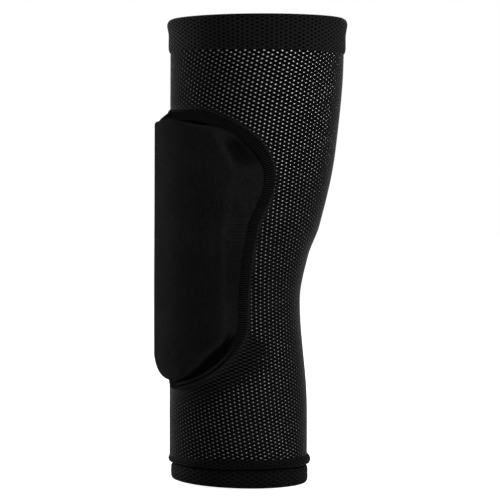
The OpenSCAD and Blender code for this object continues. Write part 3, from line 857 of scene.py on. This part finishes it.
def pad_cover():
    """The jersey over the foam, with its dips, ridge, bulge and tension lines."""
    grid, rim = cover_grid()
    rings, count = grid.shape[:2]
    rim_off = RIM_OFF + RIM_CLIMB * seam_base(rim, RIM_INSET)
    off = taut(grid, rim_off)
    r = degree_mm(grid[..., 1])
    ring = np.arange(rings)[:, None]
    share = np.clip((ring - EDGE_RING) / FLANK_RINGS, 0, 1)
    # Dips beside the seam
    edge_angle, edge_z = np.abs(BLOCK[:, 0]), BLOCK[:, 1]
    fold_top = between(edge_angle, *TOP_FOLD_ANGLE) * (edge_z > TOP_Z)
    pocket = between(grid[..., 1], *POCKET_Z) * grow(np.abs(grid[..., 0]), *POCKET_ANGLE)
    dips = np.maximum(fold_top, pocket) * (share > 0)
    low = rim_off + (off[EDGE_RING] - rim_off) * (1 - np.minimum(DIP_RATE * share, 1)) ** DIP_POWER
    off = off + dips * (np.minimum(off, low) - off)
    # The ridge at the shoulder
    ridge = between(edge_z, *RIDGE_Z) * np.exp(-((ring - EDGE_RING + 1) / RIDGE_RINGS) ** 2)
    off = off + RIDGE_H * ridge
    # The bulge round the lower end
    run = rim - BLOCK
    gap = np.linalg.norm(run * (EDGE_MM, 1), axis=1)
    run = run / gap[:, None]
    bulge = grow(edge_z, *BULGE_Z) * part_way(BULGE_LEAST, 1, grow(edge_angle, *BULGE_ANGLE))
    aside = np.interp(share, BULGE_SHARE, BULGE_OUT) * (1 - share) + gap * share ** BULGE_POWER
    height = np.interp(share, BULGE_SHARE, BULGE_DROP) * (off[EDGE_RING] - rim_off) + rim_off
    tucked = BLOCK + run * aside[..., None]
    grid = np.where((share > 0)[..., None], grid + bulge[:, None] * (tucked - grid), grid)
    off = np.where(share > 0, off + bulge * (height - off), off)
    # Painted shade in the dips and on the lower sides
    hollow = grow(share, *POCKET_FROM) * (1 - POCKET_EASE * grow(share, *POCKET_PAST))
    sides = grow(np.abs(grid[..., 0]), *SIDE_ANGLE) * grow(grid[..., 1], *SIDE_Z)
    sides = sides * (1 - SIDE_EASE * grow(grid[..., 1], *SIDE_END_Z))
    painted_shade = np.maximum.reduce([
        TUCK_SHADE * bulge * grow(share, *TUCK_FROM),
        FOLD_SHADE * fold_top * grow(share, *FOLD_FROM),
        POCKET_SHADE * pocket * hollow,
        (SIDE_SHADE + FLANK_SHADE * grow(share, *FLANK_FROM)) * sides])
    # More spokes for the tension lines
    split = np.where(np.abs(edge_z - TAUT_Z) < FINE_REACH, FINE_SPOKES, SPOKES)
    at = np.concatenate([i + np.arange(n) / n for i, n in enumerate(split)])
    before = at.astype(int)
    after, way = (before + 1) % count, at - before
    grid = grid[:, before] * (1 - way)[:, None] + grid[:, after] * way[:, None]
    off, r, painted_shade = [v[:, before] * (1 - way) + v[:, after] * way for v in (off, r, painted_shade)]
    count = len(at)
    angle, z = grid[..., 0], grid[..., 1]
    near = np.sin(math.pi * share) ** ACROSS_POWER * np.exp(-((z - TAUT_Z) / TAUT_REACH) ** 4)
    wave = np.sin(2 * math.pi * z / TAUT_PITCH + TAUT_SWAY * np.sin(z))
    off = off + TAUT_H * near * wave
    # Painted shade in the troughs of the tension lines
    painted_shade = np.maximum(painted_shade, TAUT_SHADE * near * grow(wave, *TAUT_DARK))
    groups = [(ring_faces(rings, count)[:, ::-1], 0, True), (np.arange(count)[None], 0, True)]
    obj = make("pad_cover_jersey", laid(grid, off).reshape(-1, 3), groups, [cover_cloth],
               {"Weave": np.stack([angle * r, z], -1).reshape(-1, 2), "Fold": one_axis(painted_shade)})
    return obj


cover = pad_cover()


# Sewn seam round the pad: a band, stitches across it, and threads along it that swell into the cords
def along_seam(pitch):
    """Places on the seam, about a pitch apart along the surface."""
    line = np.concatenate([SEAM, SEAM[:1]])
    length = travelled(np.stack([line[:, 0] * degree_mm(line[:, 1]), line[:, 1]], 1))
    return spaced(line, length, round(length[-1] / pitch))


BAND_PITCH, BAND_SIDES, BAND_SQUARE = 1.2, 24, 0.7
BAND_W, BAND_H, BAND_OFF = 6.4, 1.0, 0.2


def seam_band(line):
    """A flat band with rounded edges along the seam."""
    rings = []
    for t in full_turn(BAND_SIDES):
        d = drawn_in(line, BAND_W / 2 * np.sign(math.cos(t)) * abs(math.cos(t)) ** BAND_SQUARE)
        rings.append(laid(inset(line, d), seam_base(line, d) + BAND_OFF + BAND_H / 2 * (1 + math.sin(t))))
    faces = ring_faces(BAND_SIDES, len(line), True)[:, ::-1]
    # Painted light across the top of the pad, carried by the band's top-light map
    flat = np.tile(along_top(line, FLAT_REACH), BAND_SIDES)
    return make("pad_seam_band", np.concatenate(rings), [(faces, 0, True)], [seam_cloth],
                {"Flat": one_axis(flat)})


# A direction that no thread follows, to turn their rings by
THREAD_UP = np.array([0.31, 0.17, 0.93])
THREAD_END = 0.45


def tubes(name, paths, radius, sides, cloth, closed=False):
    """Round threads along paths, each closed on itself or narrowed at its ends."""
    n, k = paths.shape[:2]
    t = unit(np.roll(paths, -1, 1) - np.roll(paths, 1, 1) if closed else np.gradient(paths, axis=1))
    side = unit(np.cross(t, THREAD_UP))
    lift = np.cross(side, t)
    q = full_turn(sides)
    taper = np.ones(k)
    if not closed:
        taper[0] = taper[-1] = THREAD_END
    ring = side[..., None, :] * np.cos(q)[:, None] + lift[..., None, :] * np.sin(q)[:, None]
    points = paths[..., None, :] + ring * (np.broadcast_to(radius, (n, k)) * taper)[..., None, None]
    start = (np.arange(n) * k * sides)[:, None, None]
    groups = [((ring_faces(k, sides, closed)[:, ::-1][None] + start).reshape(-1, 4), 0, True)]
    if not closed:
        ends = np.stack([np.arange(sides), (k - 1) * sides + np.arange(sides)[::-1]])
        groups.append(((ends[None] + start).reshape(-1, sides), 0, True))
    return make(name, points.reshape(-1, 3), groups, [cloth])


STITCH_PITCH, STITCH_R, STITCH_SIDES = 1.3, 0.29, 6
STITCH_REACH, STITCH_POINTS, STITCH_LEAN = 2.9, 9, 0.3
STITCH_OFF, ARCH_H, ARCH_REACH = 0.95, 0.5, 3.2
CORDED_SINK, FLAT_SINK, TIP_SINK = 0.5, 0.2, 0.4
# Threads along the seam: how far inwards, and whether they swell into a cord
NEEDLE_THREADS = ((-2.5, 1), (0.0, 1), (2.5, 0))
NEEDLE_OFF, NEEDLE_R, NEEDLE_SIDES = 0.9, 0.12, 8
CORD_LIFT, CORD_R, CORD_SHIFT = 0.4, 0.75, 0.3


def cross_stitch_paths(line):
    """Arched stitches across the seam, each leaning towards the next."""
    paths = []
    for d in np.linspace(-STITCH_REACH, STITCH_REACH, STITCH_POINTS):
        inward = drawn_in(line, d)
        arch = STITCH_OFF + ARCH_H * (1 - (d / ARCH_REACH) ** 2) - CORDED_SINK * corded(line)
        arch -= FLAT_SINK * along_top(line, FLAT_REACH) + TIP_SINK * at_tip(line)
        paths.append(laid(inset(line, inward), seam_base(line, inward) + arch))
    paths = np.stack(paths, 1)
    share = np.linspace(0, STITCH_LEAN, STITCH_POINTS)[None, :, None]
    return paths * (1 - share) + np.roll(paths, -1, 0) * share


def needle_paths(line):
    """Threads along the seam, and their radius at each point."""
    paths, radius = [], []
    cords = corded(line)
    for d, swell in NEEDLE_THREADS:
        inward = drawn_in(line, d) - CORD_SHIFT * cords
        off = seam_base(line, inward) + NEEDLE_OFF + CORD_LIFT * swell * cords
        paths.append(laid(inset(line, inward), off))
        radius.append(NEEDLE_R + CORD_R * swell * cords)
    return np.array(paths), np.array(radius)


edge_band = seam_band(along_seam(BAND_PITCH))
stitch_line = along_seam(STITCH_PITCH)
cross_stitches = tubes("pad_seam_cross_stitches", cross_stitch_paths(stitch_line),
                       STITCH_R, STITCH_SIDES, thread)
needle_threads = tubes("pad_seam_needle_threads", *needle_paths(stitch_line),
                       NEEDLE_SIDES, thread, closed=True)

# The flat seam that closes the tube along the crook of the arm
CROOK_ROWS, CROOK_SIDES = 190, 10
CROOK_REACH, CROOK_OFF, CROOK_HALF_T = 2.3, 0.1, 0.45
CROOK_PITCH, CROOK_MARGIN_Z = 1.3, 1
CROOK_SPAN, CROOK_POINTS, CROOK_R = 2.1, 7, 0.3
CROOK_TOP, CROOK_ARCH_H, CROOK_ARCH_W, CROOK_LEAN = 0.7, 0.4, 2.4, 0.2


def crook_path(z, aside, off):
    """Points at heights z, a distance aside of the crook's middle and off the knit."""
    width, _ = section(z)
    return on_sleeve(math.pi + aside / (width / 2), z, off)


def crook_strip():
    z = np.linspace(LOWER_HEM_Z, UPPER_HEM_Z, CROOK_ROWS)
    rings = [crook_path(z, CROOK_REACH * math.cos(t), CROOK_OFF + CROOK_HALF_T * (1 + math.sin(t)))
             for t in full_turn(CROOK_SIDES)]
    caps = np.stack([np.arange(CROOK_SIDES)[::-1], (len(z) - 1) * CROOK_SIDES + np.arange(CROOK_SIDES)])
    groups = [(ring_faces(len(z), CROOK_SIDES), 0, True), (caps, 0, True)]
    return make("crook_seam_band", np.stack(rings, 1).reshape(-1, 3), groups, [band])


def crook_stitch_paths():
    z = np.arange(LOWER_HEM_Z + CROOK_MARGIN_Z, UPPER_HEM_Z - CROOK_MARGIN_Z, CROOK_PITCH)
    paths = []
    for d in np.linspace(-CROOK_SPAN, CROOK_SPAN, CROOK_POINTS):
        arch = CROOK_ARCH_H * (1 - (d / CROOK_ARCH_W) ** 2)
        paths.append(crook_path(z + CROOK_LEAN * d, d, CROOK_TOP + arch))
    return np.stack(paths, 1)


crook_band = crook_strip()
crook_stitches = tubes("crook_seam_stitches", crook_stitch_paths(), CROOK_R, STITCH_SIDES, thread)

# Hem stitches, sunk in the step under each fold
HEM_SPAN, HEM_POINTS, HEM_R = 0.36, 5, 0.26
HEM_ARCH_H, HEM_ARCH_SPAN = 0.12, 1.4


def hem_stitches(name, radius, z, centre_y, count, cloth, lift):
    """A ring of short stitches, raised by the lift at each angle."""
    span = np.linspace(-HEM_SPAN, HEM_SPAN, HEM_POINTS) * 2 * math.pi / count
    a = full_turn(count)[:, None] + span
    r = radius + HEM_ARCH_H * np.cos(np.linspace(-HEM_ARCH_SPAN, HEM_ARCH_SPAN, HEM_POINTS))
    return tubes(name, turned(r, z + lift(a), a, centre_y), HEM_R, STITCH_SIDES, cloth)


upper_stitches = hem_stitches("upper_hem_stitches", 50.95, 250.7, UPPER_HEM_Y, 140, thread, np.zeros_like)
lower_stitches = hem_stitches("lower_hem_stitches", 38.0, 9.45, LOWER_HEM_Y, 112, band, roll_lift)

# What each piece stands for and its slot: first the pieces left unattached, then those that ride on one body
for piece, node, slot in (
        (knit_elbow, "elbow_sleeve", "knit"), (foam_upper, "pad_core_upper", "foam"),
        (foam_elbow, "pad_core_elbow", "foam"), (cover, "pad_cover", "cover"),
        (edge_band, "pad_edge_seam", "seam"), (cross_stitches, None, "seam"),
        (needle_threads, None, "seam"), (crook_band, None, "seam"), (crook_stitches, None, "seam")):
    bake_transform(piece)
    if node:
        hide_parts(node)
for piece, node, slot, body in (
        (knit_upper, "upper_sleeve", "knit", "upper_arm_part"),
        (knit_lower, "lower_sleeve", "knit", "forearm_part"),
        (upper_hem, "upper_cuff", "cuff", "upper_arm_part"),
        (lower_hem, "lower_cuff", "cuff", "forearm_part"),
        (upper_elastic, "upper_cuff_elastic", "elastic", "upper_arm_part"),
        (lower_elastic, "lower_cuff_elastic", "elastic", "forearm_part"),
        (upper_stitches, None, "seam", "upper_arm_part"),
        (lower_stitches, None, "seam", "forearm_part")):
    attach(piece, body)
    if node:
        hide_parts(node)

# Camera at the photograph's viewing angle, in metres
VIEW_AZ, ROLL = math.radians(72), math.radians(0.33)
CENTRE_RIGHT, CAMERA_AWAY, CAMERA_Z, AIM_Z = 0.0068, 1.1544, 0.1814, 0.1354
LENS, NEAREST = 141.9, 0.05
right = Vector((math.cos(VIEW_AZ), math.sin(VIEW_AZ), 0))
back = Vector((math.sin(VIEW_AZ), -math.cos(VIEW_AZ), 0))
up = Vector((0, 0, 1))
centre = right * CENTRE_RIGHT
camera = add("camera", bpy.data.cameras.new("camera"))
camera.location = centre + back * CAMERA_AWAY + up * CAMERA_Z
turn = (centre + up * AIM_Z - camera.location).to_track_quat("-Z", "Y")
camera.rotation_euler = (turn @ Quaternion(up, ROLL)).to_euler()
camera.data.lens = LENS
camera.data.clip_start = NEAREST
scene.camera = camera

# World, floor and lights
WHITE, PAPER = grey(1), grey(0.8)
WORLD_LIGHT, FLOOR_GLOW, FLOOR_HALF = 0.1, 0.93, 4000


def seen_ray(tree):
    """1 for rays that see the backdrop: straight, mirrored or through glass."""
    paths = tree.nodes.new("ShaderNodeLightPath")
    share = paths.outputs["Is Camera Ray"]
    for other in ("Is Glossy Ray", "Is Transmission Ray"):
        share = math_node(tree, "MAXIMUM", share, paths.outputs[other])
    return share


world = bpy.data.worlds.new("studio")
world.use_nodes = True
scene.world = world
tree = world.node_tree
sky = tree.nodes["Background"]
sky.inputs["Color"].default_value = WHITE
link(tree, math_node(tree, "MAXIMUM", seen_ray(tree), WORLD_LIGHT), sky.inputs["Strength"])

floor_paper, tree, shader = nodes_of("floor_paper")
shader.inputs["Base Color"].default_value = PAPER
set_gloss(shader, rough=0.9, specular=0.1, sheen=0.0, sheen_rough=0.5)
shader.inputs["Emission Color"].default_value = WHITE
glow = math_node(tree, "MULTIPLY", seen_ray(tree), FLOOR_GLOW)
link(tree, glow, shader.inputs["Emission Strength"])
floor_corners = np.array([(-1, -1, 0), (1, -1, 0), (1, 1, 0), (-1, 1, 0)]) * FLOOR_HALF
floor = make("floor", floor_corners, [([[0, 1, 2, 3]], 0, False)], [floor_paper])

# Soft lamps: metres to the camera's right, towards it and up, their size, and watts
LAMP_AIM = up * 0.14
LAMPS = (("front_box", 0.62, 0.79, 0.37, (0.35, 0.3), 8.8), ("top_box", 0, 0.3, 1.1, (0.5, 0.5), 2.5),
         ("left_box", -0.96, -0.53, 0.22, (0.4, 0.5), 20), ("right_box", 0.95, -0.3, 0.45, (0.4, 0.4), 6))
for name, aside, nearer, height, size, watts in LAMPS:
    data = bpy.data.lights.new(name, "AREA")
    data.shape = "RECTANGLE"
    data.size, data.size_y = size
    data.energy = watts
    lamp = add(name, data)
    lamp.location = right * aside + back * nearer + up * height
    lamp.rotation_euler = (LAMP_AIM - lamp.location).to_track_quat("-Z", "Y").to_euler()
    lamp.visible_camera = False

scene.view_settings.view_transform = "Standard"
